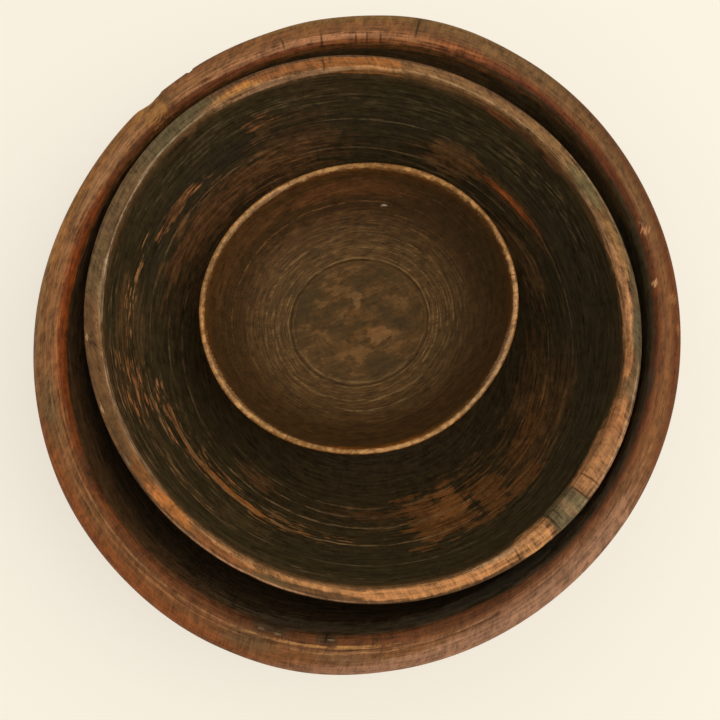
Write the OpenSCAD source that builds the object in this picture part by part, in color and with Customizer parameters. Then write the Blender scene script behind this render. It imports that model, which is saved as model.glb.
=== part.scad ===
// A nest of three wooden dough bowls, each turned from one block and dried oval.
// The bowls stand in one another, foot on floor, and lift out one after the other.
// Lengths are in millimetres. The origin is under the middle of the large bowl's foot.

/* [Large bowl] */
// Width across the rim, along the grain
large_w = 510; // [440:1:600]
// Width lost across the grain while the wood dried
large_shrink = 27; // [0:1:36]
// Direction of the grain, counted from the right-hand side
large_grain_a = 72.5; // [0:0.5:180]
// Height of the rim above the table
large_h = 162; // [140:1:200]
// Thickness of the floor
large_floor_t = 22; // [16:1:30]
// Width of the flat foot
large_foot_w = 236; // [200:1:260]
// Width of the band on top of the rim
large_band_w = 19; // [14:0.5:22]
// Fall of the band from its ridge to the outer edge
large_band_fall = 3; // [0.5:0.5:6]
// Rounding of the outer edge
large_edge_r = 7; // [3:0.5:9]
// Width of the worn slope inside the ridge
large_slope_w = 8; // [4:0.5:10]
// Drop of the worn slope inside the ridge
large_slope_d = 9; // [5:0.5:16]

/* [Middle bowl] */
// Room from the large bowl's worn slope to the rim
middle_room = 15.5; // [13:0.5:30]
// Width lost across the grain while the wood dried
middle_shrink = 17; // [0:1:28]
// Direction of the grain, counted from the right-hand side
middle_grain_a = 123.5; // [0:0.5:180]
// Rise of the rim above the large bowl's rim
middle_rise = 3; // [0:0.5:20]
// Thickness of the floor
middle_floor_t = 18; // [12:1:24]
// Width of the flat foot
middle_foot_w = 176; // [150:1:200]
// Width of the band on top of the rim
middle_band_w = 7; // [5:0.5:12]
// Fall of the band from its ridge to the outer edge
middle_band_fall = 0.5; // [0.1:0.1:2]
// Rounding of the outer edge
middle_edge_r = 2; // [1:0.5:4]
// Width of the worn slope inside the ridge
middle_slope_w = 4; // [1:0.5:6]
// Drop of the worn slope inside the ridge
middle_slope_d = 4.5; // [1:0.5:8]
// Distance that the bowl stands to the right in the large bowl
middle_right = 3.2; // [0:0.1:5]
// Distance that the bowl stands to the back in the large bowl
middle_back = 3.1; // [0:0.1:5]

/* [Small bowl] */
// Room from the middle bowl's worn slope to the rim
small_room = 72.5; // [60:0.5:90]
// Width lost across the grain while the wood dried
small_shrink = 18; // [0:1:24]
// Direction of the grain, counted from the right-hand side
small_grain_a = 21; // [0:0.5:180]
// Height of the rim above its own foot
small_h = 79; // [60:1:100]
// Thickness of the floor
small_floor_t = 12; // [8:1:18]
// Width of the flat foot
small_foot_w = 108; // [80:1:120]
// Width of the band on top of the rim
small_band_w = 1.9; // [1.7:0.1:4]
// Fall of the band from its ridge to the outer edge
small_band_fall = 0.3; // [0.1:0.1:1]
// Rounding of the outer edge
small_edge_r = 1.6; // [1:0.1:1.6]
// Width of the rounded inner edge
small_slope_w = 1.8; // [1:0.2:3]
// Drop of the rounded inner edge
small_slope_d = 2.6; // [1:0.2:5]
// Distance that the bowl stands to the left in the middle bowl
small_left = 2.3; // [0:0.1:4]
// Distance that the bowl stands to the back in the middle bowl
small_back = 19; // [0:0.5:24]
// Width of the flat middle of the floor
small_floor_w = 80; // [60:1:100]
// Width of the ring scribed on the rising floor
ring_w = 123; // [110:1:140]
// Width of the scribed cut
ring_cut_w = 2.4; // [1:0.2:4]
// Depth of the scribed cut
ring_cut_d = 0.9; // [0.4:0.1:1.5]

/* [Turning] */
// Depth of the tracks that the gouge left on the insides
track_d = 0.5; // [0.2:0.1:0.8]
// Tracks up the inside of the large bowl
large_tracks = 11; // [8:1:16]
// Tracks up the inside of the middle bowl
middle_tracks = 13; // [8:1:18]
// Tracks up the inside of the small bowl
small_tracks = 9; // [6:1:14]

/* [Hidden] */
// Names of the pieces

// Room under a foot that stands on the floor below it
seat_gap = 0.3;
// Flat floor left round a foot that stands on it
floor_margin = 6;
// How far a cut runs past the face that it opens
overrun = 3;
// Lean of the outside where it leaves the foot, and where it meets the rim
outside_start_a = 16;
outside_end_a = 80;
// Lean of the inside where it leaves the floor, and where it meets the rim
inside_start_a = 0;
inside_end_a = 74;
// Steps up the outside, round the outer edge and down the worn slope
outside_steps = 16;
edge_steps = 4;
slope_steps = 3;
// Turn of one quarter of a bowl
quarter_a = 90;

// Heights of the feet above the table
middle_seat = large_floor_t + seat_gap;
small_seat = middle_seat + middle_floor_t + seat_gap;

// Each rim fits inside the one before it
middle_w = large_w - 2 * (large_band_w + large_slope_w + middle_room);
middle_h = large_h + middle_rise - middle_seat;
small_w = middle_w - 2 * (middle_band_w + middle_slope_w + small_room);

// Share of the width that is left across the grain
large_oval_share = (large_w - large_shrink) / large_w;
middle_oval_share = (middle_w - middle_shrink) / middle_w;
small_oval_share = (small_w - small_shrink) / small_w;

// Each flat floor carries the foot that stands on it off its centre
middle_off = norm([middle_right, middle_back]);
small_off = norm([small_left, small_back]);
large_floor_w = (middle_foot_w + 2 * (middle_off + floor_margin)) / large_oval_share;
middle_floor_w = (small_foot_w + 2 * (small_off + floor_margin)) / middle_oval_share;

$fn = 96;

// Point on a swelling wall that leans from one angle to another as it rises
function swell(low, high, start_a, end_a, a) = [
    low.x + (high.x - low.x) * (sin(a) - sin(start_a)) / (sin(end_a) - sin(start_a)),
    low.y + (high.y - low.y) * (cos(start_a) - cos(a)) / (cos(start_a) - cos(end_a))
];

// Direction square to that wall, pointing down and out
function into_wood(low, high, start_a, end_a, a) =
    let (along = [
        (high.x - low.x) * cos(a) / (sin(end_a) - sin(start_a)),
        (high.y - low.y) * sin(a) / (cos(start_a) - cos(end_a))
    ])
    [along.y, -along.x] / norm(along);

// Outside, from the edge of the foot up to where the rim starts to round over
function outside_points(foot_edge, rim) = [
    for (i = [0 : outside_steps])
        let (a = outside_start_a + (outside_end_a - outside_start_a) * i / outside_steps)
        swell(foot_edge, rim, outside_start_a, outside_end_a, a)
];

// Outer edge, rounded over on to the band on top of the rim
function edge_points(rim, edge_r) = [
    for (i = [1 : edge_steps])
        let (a = quarter_a * i / edge_steps)
        [rim.x - edge_r * (1 - cos(a)), rim.y + edge_r * sin(a)]
];

// Worn slope, rounded over from the ridge of the rim down to the inside
function slope_points(ridge, slope_w, slope_d) = [
    for (i = [0 : slope_steps])
        let (a = quarter_a * i / slope_steps)
        [ridge.x - slope_w * sin(a), ridge.y - slope_d * (1 - cos(a))]
];

// Inside, from the rim down to the floor, scooped into shallow gouge tracks
function inside_points(floor_edge, lip, tracks) = [
    for (i = [2 * tracks - 1 : -1 : 0])
        let (a = inside_start_a + (inside_end_a - inside_start_a) * i / (2 * tracks))
        swell(floor_edge, lip, inside_start_a, inside_end_a, a)
            + (i % 2) * track_d * into_wood(floor_edge, lip, inside_start_a, inside_end_a, a)
];

// One round bowl, less any turned cut, dried to an oval with its long way along the grain
module turned_bowl(w, h, oval_share, grain_a, foot_w, floor_t, floor_w,
        band_w, band_fall, edge_r, slope_w, slope_d, tracks) {
    rim = [w / 2, h - band_fall - edge_r];
    ridge = [w / 2 - band_w, h];
    lip = [ridge.x - slope_w, ridge.y - slope_d];
    floor_edge = [floor_w / 2, floor_t];
    section = concat(
        [[0, 0]],
        outside_points([foot_w / 2, 0], rim),
        edge_points(rim, edge_r),
        slope_points(ridge, slope_w, slope_d),
        inside_points(floor_edge, lip, tracks),
        [[0, floor_t]]
    );
    rotate(grain_a)
        for (quarter = [0 : 3])
            scale([1, oval_share, 1])
                rotate(quarter * quarter_a)
                    difference() {
                        rotate_extrude(angle = quarter_a)
                            polygon(section);
                        children();
                    }
}

module large_bowl() {
    color([0.34, 0.17, 0.10])
        turned_bowl(
            w = large_w, h = large_h, oval_share = large_oval_share, grain_a = large_grain_a,
            foot_w = large_foot_w, floor_t = large_floor_t, floor_w = large_floor_w,
            band_w = large_band_w, band_fall = large_band_fall, edge_r = large_edge_r,
            slope_w = large_slope_w, slope_d = large_slope_d, tracks = large_tracks
        );
}

module middle_bowl() {
    color([0.20, 0.16, 0.10])
        translate([middle_right, middle_back, middle_seat])
            turned_bowl(
                w = middle_w, h = middle_h, oval_share = middle_oval_share, grain_a = middle_grain_a,
                foot_w = middle_foot_w, floor_t = middle_floor_t, floor_w = middle_floor_w,
                band_w = middle_band_w, band_fall = middle_band_fall, edge_r = middle_edge_r,
                slope_w = middle_slope_w, slope_d = middle_slope_d, tracks = middle_tracks
            );
}

// Narrow ring that the turner scribed where the small bowl's floor begins to rise
module scribed_ring() {
    lip = [small_w / 2 - small_band_w - small_slope_w, small_h - small_slope_d];
    floor_edge = [small_floor_w / 2, small_floor_t];
    ring_r = ring_w / 2;
    half_cut = ring_cut_w / 2;
    lean_a = asin(sin(inside_end_a) * (ring_r - floor_edge.x) / (lip.x - floor_edge.x));
    ring_z = swell(floor_edge, lip, inside_start_a, inside_end_a, lean_a).y;
    rotate_extrude()
        polygon([
            [ring_r, ring_z - ring_cut_d],
            [ring_r + half_cut, ring_z + overrun],
            [ring_r - half_cut, ring_z + overrun]
        ]);
}

module small_bowl() {
    color([0.36, 0.25, 0.15])
        translate([middle_right - small_left, middle_back + small_back, small_seat])
            turned_bowl(
                w = small_w, h = small_h, oval_share = small_oval_share, grain_a = small_grain_a,
                foot_w = small_foot_w, floor_t = small_floor_t, floor_w = small_floor_w,
                band_w = small_band_w, band_fall = small_band_fall, edge_r = small_edge_r,
                slope_w = small_slope_w, slope_d = small_slope_d, tracks = small_tracks
            )
                scribed_ring();
}

large_bowl();
middle_bowl();
small_bowl();
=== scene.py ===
# %% [markdown]
# # A nest of three turned dough bowls
# Three old wooden bowls sit one inside another. Each was turned from one block and then dried,
# and drying pulled it oval, because wood shrinks more across its grain than along it.
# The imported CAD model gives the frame: where each bowl stands and how it lifts out.
# This lesson dresses that frame with finer meshes and with wood that shows its wear.

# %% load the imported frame
import math

import bpy
import numpy as np
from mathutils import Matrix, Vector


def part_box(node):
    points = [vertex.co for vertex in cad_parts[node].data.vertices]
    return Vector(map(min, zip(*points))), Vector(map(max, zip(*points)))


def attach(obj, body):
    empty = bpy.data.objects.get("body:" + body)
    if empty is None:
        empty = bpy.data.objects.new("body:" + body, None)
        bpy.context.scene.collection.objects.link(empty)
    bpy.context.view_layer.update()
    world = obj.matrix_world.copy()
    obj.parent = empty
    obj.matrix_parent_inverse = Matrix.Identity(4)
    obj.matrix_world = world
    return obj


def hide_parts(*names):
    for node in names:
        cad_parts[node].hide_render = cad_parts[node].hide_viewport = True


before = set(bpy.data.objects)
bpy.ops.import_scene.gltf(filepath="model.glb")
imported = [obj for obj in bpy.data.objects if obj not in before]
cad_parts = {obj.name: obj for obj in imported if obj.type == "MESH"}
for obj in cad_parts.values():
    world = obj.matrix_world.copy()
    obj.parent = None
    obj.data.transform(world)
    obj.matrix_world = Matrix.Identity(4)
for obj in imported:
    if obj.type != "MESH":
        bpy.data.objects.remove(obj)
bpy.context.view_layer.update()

# %% [markdown]
# ## The eye
# The bowls were seen from above and a little in front. The rims are ellipses in the picture,
# and the way they slide over one another tells where the eye was: 0.72 m above the floor
# and 0.15 m in front of the middle, looking down with a tilt of 12 degrees.

# %% the camera
eye = bpy.data.objects.new("eye", bpy.data.cameras.new("eye"))
EYE_PLACE = (0.00173, -0.15313, 0.71558)
EYE_TILT = 12
eye.data.sensor_width = 36
eye.data.lens = 38.6
eye.location = EYE_PLACE
eye.rotation_euler = (math.radians(EYE_TILT), 0, 0)
bpy.context.collection.objects.link(eye)
bpy.context.scene.camera = eye
bpy.context.scene.view_settings.view_transform = "Standard"
print("eye", round(eye.location.z, 3), "m up, lens", eye.data.lens, "mm")

# %% [markdown]
# ## The three bowls in numbers
# These are the turner's own sizes, in millimetres, the same as in the CAD source.
# "grain" is the plan angle of the long axis: that is the way the grain runs.
# "rooms" says how far apart the mesh rows are on the outside, the rim, the inside and the floor.
# "ring" is the ring scribed on the small bowl's rising floor: how far along the section it lies,
# half its width and its depth.

# %% sizes of the bowls
MM_IN_M = 1000
BOWLS = {
    "large": dict(width=510, shrink=27, grain=72.5, height=162, floor=22, foot=236, floor_w=207.9,
                  band=19, fall=3, edge=7, slope_w=8, slope_d=9, middle=(0, 0), stands=0,
                  rooms=(3.0, 0.9, 2.6, 7.0)),
    "middle": dict(width=425, shrink=17, grain=123.5, height=142.7, floor=18, foot=176, floor_w=164.9,
                   band=7, fall=0.5, edge=2, slope_w=4, slope_d=4.5, middle=(3.2, 3.1), stands=22.3,
                   rooms=(3.0, 0.6, 1.7, 5.0)),
    "small": dict(width=258, shrink=18, grain=21, height=79, floor=12, foot=108, floor_w=80,
                  band=1.9, fall=0.3, edge=1.6, slope_w=1.8, slope_d=2.6, middle=(0.9, 22.1), stands=40.6,
                  rooms=(2.2, 0.4, 1.2, 1.2), ring=(97, 1.2, 0.9)),
}
for name, bowl in BOWLS.items():
    low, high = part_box(name + "_bowl")
    stands, tall = low[2] * MM_IN_M, (high[2] - low[2]) * MM_IN_M
    print(name, "stands at", round(stands, 1), "mm and is", round(tall, 1), "mm tall")

# %% [markdown]
# ## The section
# A turned bowl is one line swung round an axis. The line goes from the middle of the foot,
# up the outside, over the rim and down the inside to the middle of the floor.
# A turner would cut it with a gouge; here each stretch is a short curve,
# and all of it is walked at an even pace, so that the mesh rows come out evenly spaced.

# %% walls and even steps
def swell(low, high, leans, steps=200):
    """A wall that starts at one lean and ends at another, as an arc does."""
    start, end = np.radians(leans)
    lean = np.linspace(start, end, steps)
    across = (np.sin(lean) - math.sin(start)) / (math.sin(end) - math.sin(start))
    up = (math.cos(start) - np.cos(lean)) / (math.cos(start) - math.cos(end))
    return np.stack([low[0] + (high[0] - low[0]) * across, low[1] + (high[1] - low[1]) * up], axis=1)


def run_of(line):
    """How far each point of a line is from its first point."""
    return np.concatenate([[0], np.cumsum(np.hypot(*np.diff(line, axis=0).T))])


def read_at(line, run, at):
    """The points of a line at given ways along it."""
    return np.stack([np.interp(at, run, line[:, 0]), np.interp(at, run, line[:, 1])], axis=1)


def evenly(line, room):
    """The same line with its points about one room apart."""
    run = run_of(line)
    return read_at(line, run, np.linspace(0, run[-1], max(2, round(run[-1] / room)) + 1))


print("a 10 mm line in rooms of 3 mm has", len(evenly(np.array([[0, 0], [10, 0]]), 3)), "points")

# %% the line of one bowl
OUTSIDE_LEANS = (16, 80)  # degrees from flat, at the foot and at the rim
INSIDE_LEANS = (0, 74)
INNER_R = 1  # mm from the axis to the innermost points
FOOT_ROOMS = 3  # the foot is flat, so its rows lie this many times as far apart
EDGE_STEPS = 24  # points round the outer edge, and down the worn slope
RING_ROWS = 9  # mesh rows across the scribed cut


def section(bowl):
    """Rows of (radius, height) from foot to floor, and each row's way along from the ridge of the rim."""
    half, top, edge = bowl["width"] / 2, bowl["height"], bowl["edge"]
    rough, fine, close, flat = bowl["rooms"]
    turn = np.radians(np.linspace(0, 90, EDGE_STEPS))
    foot = np.array([[INNER_R, 0], [bowl["foot"] / 2, 0]])
    centre = np.array([half - edge, top - bowl["fall"] - edge])
    outer = centre + edge * np.stack([np.cos(turn), np.sin(turn)], 1)
    ridge = np.array([[half - bowl["band"], top]])
    slope = ridge - np.stack([bowl["slope_w"] * np.sin(turn), bowl["slope_d"] * (1 - np.cos(turn))], 1)
    floor = np.array([[bowl["floor_w"] / 2, bowl["floor"]], [INNER_R, bowl["floor"]]])
    wall_out = swell(foot[-1], outer[0], OUTSIDE_LEANS)
    wall_in = swell(floor[0], slope[-1], INSIDE_LEANS)[::-1]
    rim = np.concatenate([outer, ridge])
    outside = np.concatenate([
        evenly(foot, FOOT_ROOMS * rough), evenly(wall_out, rough)[1:], evenly(rim, fine)[1:]])
    inside = np.concatenate([evenly(slope, fine), evenly(wall_in, close)[1:], evenly(floor, flat)[1:]])
    rows = np.concatenate([outside, inside[1:]])
    run = run_of(rows)
    along = run - run[len(outside) - 1]
    if "ring" in bowl:
        at, half_cut, _ = bowl["ring"]
        cut = np.linspace(at - half_cut, at + half_cut, RING_ROWS)
        closer = np.unique(np.concatenate([along, cut]))
        rows, along = read_at(rows, along, closer), closer
    return rows, along


for name, bowl in BOWLS.items():
    rows, along = section(bowl)
    print(name, "section:", len(rows), "rows,", round(along[-1]), "mm from ridge to floor middle")

# %% [markdown]
# ## Wear in the shape
# An old rim is not a true oval. It has swollen and dried, it has been chipped and knocked,
# and the end grain has opened in short cracks. Each such place is written down
# by where it is: its plan angle in degrees and its way along the section in millimetres.
# The mesh is then pushed there, so the wear is real and shows in the outline too.

# %% helpers that push one place of the wood
def place(value, at, half, turn=False):
    """1 at a place, falling smoothly to 0 at half a width away. Angles wrap round."""
    off = (value - at + 180) % 360 - 180 if turn else value - at
    return np.clip(1 - (off / half) ** 2, 0, 1) ** 2


def ripple(angle, seed, waves=9, start=2):
    """A gentle random wave round the bowl, between about -1 and 1."""
    dice = np.random.default_rng(seed)
    height = 0.9
    around = np.radians(angle)
    total = sum(np.sin(around * k + dice.uniform(0, 6.28)) / k for k in range(start, start + waves))
    return total / height


dent = [round(float(place(off, 0, 10)), 2) for off in (0, 5, 10)]
print("a place 10 mm each way is", dent, "deep at 0, 5 and 10 mm from its middle")

# %% the tracks of the gouge
TRACK_WIDTHS = (0.5, 1.6)  # least and most, as shares of the usual gap
TRACK_DEPTHS = (0.3, 1.0)  # least and most, as shares of the full depth
TRACK_DRIFT = 0.5  # mm that a track wanders as it goes round
TRACK_WAVES = (4, 1)  # how many waves it wanders in, and the longest one's count round the bowl
TRACK_FADE = 12  # mm over which the tracks begin and end


def gouge_tracks(along, angle, first, last, seed, gap, deep):
    """Scalloped tracks that the gouge left: hollows with a sharp crest between each two."""
    dice = np.random.default_rng(seed)
    crests = [first]
    while crests[-1] < last:
        crests.append(crests[-1] + dice.uniform(*TRACK_WIDTHS) * gap)
    crests = np.array(crests)
    drift = along + TRACK_DRIFT * ripple(angle, seed + 1, *TRACK_WAVES)
    which = np.clip(np.searchsorted(crests, drift) - 1, 0, len(crests) - 2)
    share = np.clip((drift - crests[which]) / (crests[which + 1] - crests[which]), 0, 1)
    depth = deep * dice.uniform(*TRACK_DEPTHS, len(crests))[which]
    fade = np.clip((along - first) / TRACK_FADE, 0, 1) * np.clip((last - along) / TRACK_FADE, 0, 1)
    return -depth * np.sin(math.pi * share) * fade


probe = gouge_tracks(np.linspace(30, 90, 200)[:, None], np.zeros((1, 1)), 10, 120, 3, 4, 0.3)
print("tracks 4 mm wide are up to", round(float(-probe.min()), 2), "mm deep")

# %% the worn places of each rim
# outline: angle, half angle, mm outward. A half angle of 4000 is the same all round.
# chips: angle, half angle, along, half along, mm deep.
# cracks: angle, along from, along to, degrees of slant over that way.
# lip: angle, half angle, mm that the lip is wider. lean: angle, half angle, mm that the rim leans outward.
# tracks: along from, along to, seed, mm between tracks, mm deep. sway: mm that the rim waves in and out.
WORN = {
    "large": dict(
        outline=[(77, 19, 3.0), (97, 12, 1.2), (62, 14, 0.6), (30, 24, -0.8), (133.4, 3.4, -2.6),
                 (128, 8, -0.8), (155, 24, -1.1), (228, 18, -0.7), (300, 24, -0.4), (335, 34, 1.1),
                 (262, 14, 0.8)],
        chips=[(123.6, 0.7, -19, 6, 1.3), (131.0, 0.8, -19, 5, 0.5), (255, 1.0, -2, 4, 0.8),
               (262, 2.2, -1, 2, 0.6), (270, 2.5, -1, 2, 0.6), (274, 1.2, -2, 2.5, 0.7),
               (6.1, 0.7, 1, 3, 0.6), (2.7, 1.0, -13, 4, 0.5), (357.5, 1.0, -15, 4, 0.5),
               (210, 1.0, 4, 4, 0.8), (17, 0.6, 0, 4, 0.5)],
        cracks=[(78.6, -16, 0, 0.4), (97.3, -3, 9, 0.6), (105.0, -5, 4, -0.5), (85.5, 2, 9, 0.2),
                (88.2, 1, 8, 0.1), (90.4, 2, 9, -0.2), (264.6, 2, 9, 0.3)],
        tracks=[(16, 207, 21, 7.0, 0.45), (-236, -30, 25, 11.0, 0.6)], sway=0.35),
    "middle": dict(
        outline=[(320, 26, 0.6), (100, 20, 0.4), (210, 30, -0.4)],
        chips=[(54, 1.5, 4, 4, 0.8), (43, 1.8, 5, 4, 0.8), (36, 1.0, 3, 3, 0.6), (301.4, 0.8, 0, 5, 0.6),
               (132, 1.0, 5, 3, 0.5), (169, 2.0, 5, 3, 0.5), (228, 1.2, -6, 2, 0.5),
               (248, 2.0, -7, 2, 0.5)],
        cracks=[(98.6, -7, 6, -1.6), (322.3, -7, 7, -0.6), (318.8, -7, 8, -0.6), (310.9, -6, 9, -0.5),
                (312.6, -2, 7, 0.4), (301.4, -5, 3, 0.6)],
        lip=[(322, 28, 3.0), (20, 40, 0.8), (190, 40, 0.8)],
        tracks=[(9, 189, 33, 5.0, 0.40), (-203, -12, 35, 10.0, 0.5)], sway=0.3),
    "small": dict(
        outline=[(0, 4000, 0.8), (60, 30, 0.4), (200, 26, -0.4), (300, 22, 0.3)],
        chips=[(77, 0.8, -1, 1.5, 0.5), (228, 1.4, 0, 1.5, 0.4), (265, 1.0, 1, 1.5, 0.5),
               (280, 0.8, -1, 1.2, 0.4), (20, 1.0, 0, 1.5, 0.4), (150, 1.2, 0, 1.5, 0.4)],
        cracks=[(120, -1.5, 2, 0.5), (10, -1, 2.5, 0.4), (243, -1, 2.5, 0.4)],
        lean=[(105, 80, -1.8), (292, 40, 1.9)],
        tracks=[(5, 150, 47, 3.2, 0.22), (-114, -6, 49, 7.0, 0.35)], sway=0.25),
}
for name, worn in WORN.items():
    print(name, "has", len(worn["chips"]), "chips and", len(worn["cracks"]), "cracks")

# %% [markdown]
# ## Turning the meshes
# Each bowl is one closed skin, swung round its own axis. The columns of the mesh stand at even angles,
# with extra ones close to each crack and chip, so that a crack half a millimetre wide has points to open.
# Two attributes go along on the points: where the point is round the bowl, and how far along the section.
# The materials read these, so that tool lines run round the bowl and wear stays at its place.

# %% where the columns stand
COLUMNS = {"large": 320, "middle": 330, "small": 380}
CRACK_STEPS = (-0.32, -0.2, -0.1, 0, 0.1, 0.2, 0.32)  # degrees from the middle of a crack
CHIP_STEPS = (-1, -0.75, -0.5, -0.2, 0.2, 0.5, 0.75, 1)  # shares of half a chip's width


def columns(worn, count):
    """Even angles with more of them near the cracks and chips."""
    angles = list(np.arange(count) * 360 / count)
    for at, *_ in worn["cracks"]:
        angles += [(at + step) % 360 for step in CRACK_STEPS]
    for at, half, *_ in worn["chips"]:
        angles += [(at + step * half) % 360 for step in CHIP_STEPS]
    return np.unique(np.round(angles, 2))


angles = {name: columns(WORN[name], count) for name, count in COLUMNS.items()}
print("columns:", {name: len(angle) for name, angle in angles.items()})

# %% push the worn places
EDGE_IN = 2  # mm inside the ridge where the wear of the outline begins
EDGE_FULL = 8  # mm below the band to which it is full
EDGE_REACH_SHARE = 0.16  # share of the width over which it fades down the outside
LIP_IN = 5  # mm inside the ridge where a wider lip is at its widest
LIP_END = 26  # mm inside the ridge where it has gone
LIP_FADE = 12  # mm over which it goes
LEAN_REACH_SHARE = 0.25  # share of the width over which a lean fades to each side of the ridge
SWAY_REACH_SHARE = 1.5  # share of the band to which the sway reaches
SWAY_REACH = 6  # and how many mm more
SWAY_SEED = 5
CRACK_DEEP = 0.7  # mm
CRACK_TIP = 0.12  # half its width in degrees, at its ends
CRACK_OPEN = 0.10  # and how much more in its middle
CRACK_PAST = 0.3  # mm that it runs on past its ends
CHIP_RAGGED = (0.35, 2.3, 5.1)  # how much, and how fast along and around


def worn_shape(bowl, worn, angle, rows, along):
    """How far each point moves: mm outward from the axis, and mm out of the wood."""
    away, out = np.zeros((len(rows), len(angle))), np.zeros((len(rows), len(angle)))
    way, turn = np.meshgrid(along, angle, indexing="ij")
    width, band = bowl["width"], bowl["band"]
    below = np.clip(1 + (way + band + EDGE_FULL) / (EDGE_REACH_SHARE * width), 0, 1)
    at_edge = np.clip((EDGE_IN - way) / band, 0, 1) * below
    at_lip = np.clip(way / LIP_IN, 0, 1) * np.clip((LIP_END - way) / LIP_FADE, 0, 1)
    at_rim = np.clip(1 - np.abs(way) / (LEAN_REACH_SHARE * width), 0, 1)
    for kind, where in (("outline", at_edge), ("lip", -at_lip), ("lean", at_rim)):
        for at, half, much in worn.get(kind, []):
            away += much * place(turn, at, half, True) * where
    swaying = np.clip(1 - np.abs(way) / (SWAY_REACH_SHARE * band + SWAY_REACH), 0, 1)
    away += worn["sway"] * ripple(turn, SWAY_SEED) * swaying
    much, fast_along, fast_around = CHIP_RAGGED
    for at, half, on, half_on, deep in worn["chips"]:
        ragged = 1 + much * np.sin(way * fast_along + at) * np.sin(turn * fast_around)
        out -= deep * ragged * np.sqrt(place(turn, at, half, True) * place(way, on, half_on))
    for at, start, end, slant in worn["cracks"]:
        share = np.clip((way - start) / (end - start), 0, 1)
        wide = CRACK_TIP + CRACK_OPEN * np.sin(math.pi * share)
        open_here = (way > start - CRACK_PAST) & (way < end + CRACK_PAST)
        out -= CRACK_DEEP * place(turn, at + slant * (share - 0.5), wide, True) * open_here
    for track in worn["tracks"]:
        out += gouge_tracks(way, turn, *track)
    if "ring" in bowl:
        at, half_cut, deep = bowl["ring"]
        out -= deep * np.clip(1 - np.abs(way - at) / half_cut, 0, 1)
    return away, out


rows, along = section(BOWLS["large"])
away, out = worn_shape(BOWLS["large"], WORN["large"], angles["large"], rows, along)
most, least = round(float(away.max()), 1), round(float(away.min()), 1)
print("large bowl: worn outward by", least, "to", most, "mm")

# %% points and faces of one bowl
def bowl_points(bowl, worn, angle, rows, along):
    """Points of the skin in metres, row by row, and then the middles of the foot and the floor."""
    away, out = worn_shape(bowl, worn, angle, rows, along)
    tangent = np.gradient(rows, axis=0)
    tangent /= np.hypot(*tangent.T)[:, None]
    face_out = np.stack([tangent[:, 1], -tangent[:, 0]], 1)
    share = 1 - bowl["shrink"] / bowl["width"]
    lean = np.radians(angle - bowl["grain"])
    oval = share / np.sqrt((share * np.cos(lean)) ** 2 + np.sin(lean) ** 2)
    radius = (rows[:, :1] + out * face_out[:, :1]) * oval + away
    height = rows[:, 1:] + out * face_out[:, 1:] + bowl["stands"]
    x = bowl["middle"][0] + radius * np.cos(np.radians(angle))
    y = bowl["middle"][1] + radius * np.sin(np.radians(angle))
    points = np.stack([x, y, height], -1).reshape(-1, 3)
    ends = [[*bowl["middle"], bowl["stands"]], [*bowl["middle"], bowl["stands"] + bowl["floor"]]]
    return np.concatenate([points, ends]) / MM_IN_M


def bowl_faces(tall, wide):
    """Faces of a skin of so many rows and columns: quads, and a fan of triangles at each end."""
    row, col = np.meshgrid(np.arange(tall - 1), np.arange(wide), indexing="ij")
    after = (col + 1) % wide
    here, below = row * wide, (row + 1) * wide
    quads = np.stack([here + col, here + after, below + after, below + col], -1).reshape(-1, 4)
    ring = np.arange(wide)
    foot_fan = np.stack([np.full(wide, tall * wide), (ring + 1) % wide, ring], 1)
    last = (tall - 1) * wide
    floor_fan = np.stack([np.full(wide, tall * wide + 1), last + ring, last + (ring + 1) % wide], 1)
    return quads.tolist() + foot_fan.tolist() + floor_fan.tolist()


print("a skin of 3 rows and 8 columns has", len(bowl_faces(3, 8)), "faces")

# %% turn the bowls
def turn_bowl(name, bowl, worn, angle):
    """The skin of one bowl as a Blender object, with its turn and along attributes."""
    rows, along = section(bowl)
    tall, wide = len(rows), len(angle)
    points = bowl_points(bowl, worn, angle, rows, along)
    skin = bpy.data.meshes.new(name + "_turned")
    skin.from_pydata(points.tolist(), [], bowl_faces(tall, wide))
    skin.polygons.foreach_set("use_smooth", [True] * len(skin.polygons))
    turns = np.zeros((len(points), 3))
    turns[:-2, 0] = np.tile(np.cos(np.radians(angle)), tall)
    turns[:-2, 1] = np.tile(np.sin(np.radians(angle)), tall)
    skin.attributes.new("turn", "FLOAT_VECTOR", "POINT").data.foreach_set("vector", turns.ravel())
    ways = np.concatenate([np.repeat(along, wide), [along[0], along[-1]]])
    skin.attributes.new("along", "FLOAT", "POINT").data.foreach_set("value", ways)
    turned = bpy.data.objects.new(name + "_turned", skin)
    bpy.context.collection.objects.link(turned)
    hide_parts(name + "_bowl")
    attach(turned, name)
    return turned


turned = {}
for name in BOWLS:
    turned[name] = turn_bowl(name, BOWLS[name], WORN[name], angles[name])
    print(name, "skin has", len(turned[name].data.polygons), "faces")

# %% [markdown]
# ## Small tools for the materials
# A material is a chain of nodes. These helpers add one node and feed it,
# so that each finish below can be read as a list of steps.
# Colours are written as they look on a screen, 0 to 255, and turned to light amounts.

# %% helpers for nodes
def tint(red, green, blue):
    """A screen colour as light amounts."""
    def amount(v):
        v /= 255
        return v / 12.92 if v <= 0.04045 else ((v + 0.055) / 1.055) ** 2.4
    return (amount(red), amount(green), amount(blue), 1.0)


def feed(tree, socket, value):
    """Links a socket, or sets a plain value on it."""
    if isinstance(value, bpy.types.NodeSocket):
        tree.links.new(value, socket)
    else:
        socket.default_value = value


def put(tree, kind, feeds=None, **settings):
    """One new node, set up and fed."""
    made = tree.nodes.new(kind)
    for key, value in settings.items():
        setattr(made, key, value)
    for key, value in (feeds or {}).items():
        feed(tree, made.inputs[key], value)
    return made


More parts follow.
